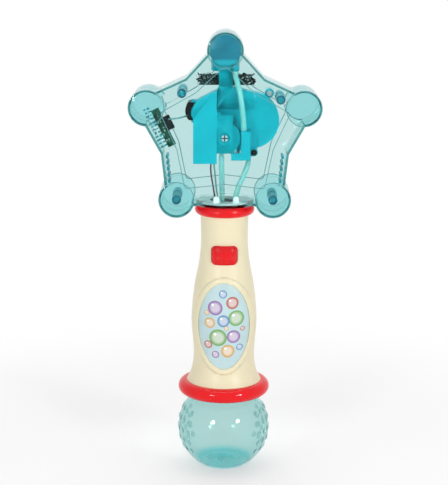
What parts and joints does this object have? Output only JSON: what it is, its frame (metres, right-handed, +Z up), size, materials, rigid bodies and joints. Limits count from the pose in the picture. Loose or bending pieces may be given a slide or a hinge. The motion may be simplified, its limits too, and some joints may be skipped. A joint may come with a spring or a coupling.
{
  "type": "bubble wand",
  "caption": "Battery bubble wand: clear star head with a pump and blower, waisted handle with push button, and a screw-on round reservoir.",
  "frame": {"origin": "centre of the reservoir's flat base, on the floor", "axes": "+Z up along the wand's axis, -Y towards the front with the button and label, +X to the viewer's right"},
  "size_m": [0.1276, 0.0628, 0.3],
  "materials": {
    "clear_plastic": "clear, faintly blue",
    "teal_plastic": "semi-gloss",
    "red_plastic": "gloss",
    "cream_plastic": "satin",
    "label": "satin film",
    "white_plastic": "moulded acetal",
    "black_plastic": "matt",
    "soft_tube": "translucent soft tube",
    "lamp": "clear lens",
    "board": "green solder mask",
    "dark_board": "dark solder mask",
    "wire": "insulated wire",
    "washer": "matt",
    "cell": "wrapped steel can",
    "steel": "bright zinc",
    "black_steel": "black oxide"
  },
  "bodies": {
    "wand": {"head_front_shell": "clear_plastic", "head_rear_shell": "clear_plastic", "head_screws": "steel", "bubble_nozzle": "teal_plastic", "bubble_ring": "teal_plastic", "blower_front": "teal_plastic", "blower_rear": "teal_plastic", "fan_motor": "steel", "drive_case": "teal_plastic", "drive_cover": "teal_plastic", "cover_screw": "steel", "pump_plate": "teal_plastic", "pump_motor": "steel", "idler_pin": "steel", "pump_tube": "soft_tube", "tube_block": "teal_plastic", "block_screw": "black_steel", "delivery_tube": "soft_tube", "feed_tube": "soft_tube", "return_tube": "soft_tube", "suction_filter": "teal_plastic", "motor_wires": "wire", "blower_screws": "steel", "control_board": "board", "control_chip": "black_plastic", "light_boards": "dark_board", "head_leds": "lamp", "neck_board": "dark_board", "neck_leds": "lamp", "upper_collar": "red_plastic", "handle_front": "cream_plastic", "handle_rear": "cream_plastic", "handle_screws": "steel", "label_plate": "label", "button_spring": "steel", "switch_board": "board", "tact_switch": "black_plastic", "battery_tray": "black_plastic", "batteries": "cell", "battery_springs": "steel", "battery_plates": "steel", "lower_collar": "red_plastic"},
    "fan": {"fan_wheel": "white_plastic", "fan_shaft": "steel"},
    "pump": {"pump_rotor": "white_plastic", "pump_gear": "white_plastic"},
    "roller_1": {"pump_roller_1": "steel"},
    "roller_2": {"pump_roller_2": "steel"},
    "roller_3": {"pump_roller_3": "steel"},
    "idler": {"idler_gear": "white_plastic"},
    "pinion": {"motor_pinion": "white_plastic", "motor_shaft": "steel"},
    "button": {"push_button": "red_plastic"},
    "door": {"battery_door": "cream_plastic", "door_screw": "steel"},
    "washer": {"reservoir_washer": "washer"},
    "reservoir": {"reservoir": "clear_plastic"}
  },
  "joints": [
    {"name": "fan_spin", "type": "hinge", "parent": "wand", "child": "fan", "pos_m": [0.0175, 0, 0.241], "axis": [0, 1, 0], "continuous": true},
    {"name": "pump_turn", "type": "hinge", "parent": "wand", "child": "pump", "pos_m": [-0.0003, 0, 0.2305], "axis": [0, 1, 0], "continuous": true},
    {"name": "roller_1_spin", "type": "hinge", "parent": "pump", "child": "roller_1", "pos_m": [-0.0003, 0, 0.2339], "axis": [0, 1, 0], "continuous": true},
    {"name": "roller_2_spin", "type": "hinge", "parent": "pump", "child": "roller_2", "pos_m": [-0.00324, 0, 0.2288], "axis": [0, 1, 0], "continuous": true},
    {"name": "roller_3_spin", "type": "hinge", "parent": "pump", "child": "roller_3", "pos_m": [0.00264, 0, 0.2288], "axis": [0, 1, 0], "continuous": true},
    {"name": "idler_spin", "type": "hinge", "parent": "wand", "child": "idler", "pos_m": [-0.00988, 0, 0.23772], "axis": [0, 1, 0], "continuous": true},
    {"name": "pinion_spin", "type": "hinge", "parent": "wand", "child": "pinion", "pos_m": [-0.0175, 0, 0.24699], "axis": [0, 1, 0], "continuous": true},
    {"name": "button_press", "type": "slide", "parent": "wand", "child": "button", "axis": [0, 1, 0], "range_m": [0, 0.0015], "stiffness_N_per_m": 600, "springref_m": -0.002, "deforming": ["button_spring"]},
    {"name": "door_swing", "type": "hinge", "parent": "wand", "child": "door", "pos_m": [0, 0.0213, 0.0739], "axis": [-1, 0, 0], "range_deg": [0, 55]},
    {"name": "reservoir_drop", "type": "slide", "parent": "wand", "child": "washer", "axis": [0, 0, -1], "range_m": [0, 0.009]},
    {"name": "reservoir_turn", "type": "hinge", "parent": "washer", "child": "reservoir", "pos_m": [0, 0, 0], "axis": [0, 0, -1], "range_deg": [0, 720]}
  ],
  "couplings": [
    {"joint": "pump_turn", "follows": "idler_spin", "ratio": -0.42857},
    {"joint": "pinion_spin", "follows": "idler_spin", "ratio": -3},
    {"joint": "roller_1_spin", "follows": "idler_spin", "ratio": 1.5612},
    {"joint": "roller_2_spin", "follows": "idler_spin", "ratio": 1.5612},
    {"joint": "roller_3_spin", "follows": "idler_spin", "ratio": 1.5612},
    {"joint": "reservoir_drop", "follows": "reservoir_turn", "m_per_rad": 0.0007162}
  ]
}
